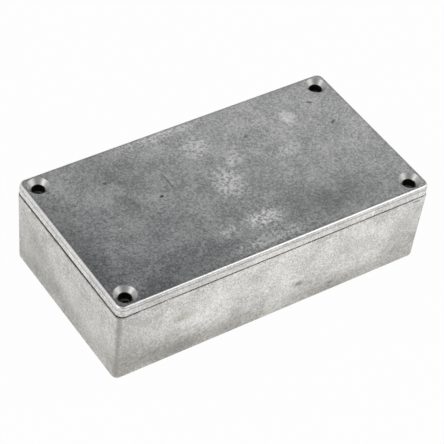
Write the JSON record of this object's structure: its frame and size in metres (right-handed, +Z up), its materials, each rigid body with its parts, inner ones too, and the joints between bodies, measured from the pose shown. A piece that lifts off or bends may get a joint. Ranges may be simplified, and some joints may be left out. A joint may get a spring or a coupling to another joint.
{
  "type": "die-cast aluminium box",
  "caption": "Rectangular die-cast aluminium enclosure with drafted walls and a flat lid on a lap joint, countersunk for corner screws, to house a circuit.",
  "frame": {"origin": "middle of the underside of the closed box", "axes": "+X along the long sides, +Y along the short sides, +Z up through the lid, towards which the lid lifts off"},
  "size_m": [0.1124, 0.0604, 0.031],
  "materials": {
    "box_casting": "as-cast skin, lightly tumbled, uncoated",
    "lid_casting": "as-cast skin with stains from the die, machined countersinks, uncoated"
  },
  "bodies": {
    "box": {"box_body": "box_casting"},
    "lid": {"lid": "lid_casting"}
  },
  "joints": [
    {"name": "lid_lift", "type": "slide", "parent": "box", "child": "lid", "axis": [0, 0, 1], "range_m": [0, 0.07]}
  ]
}
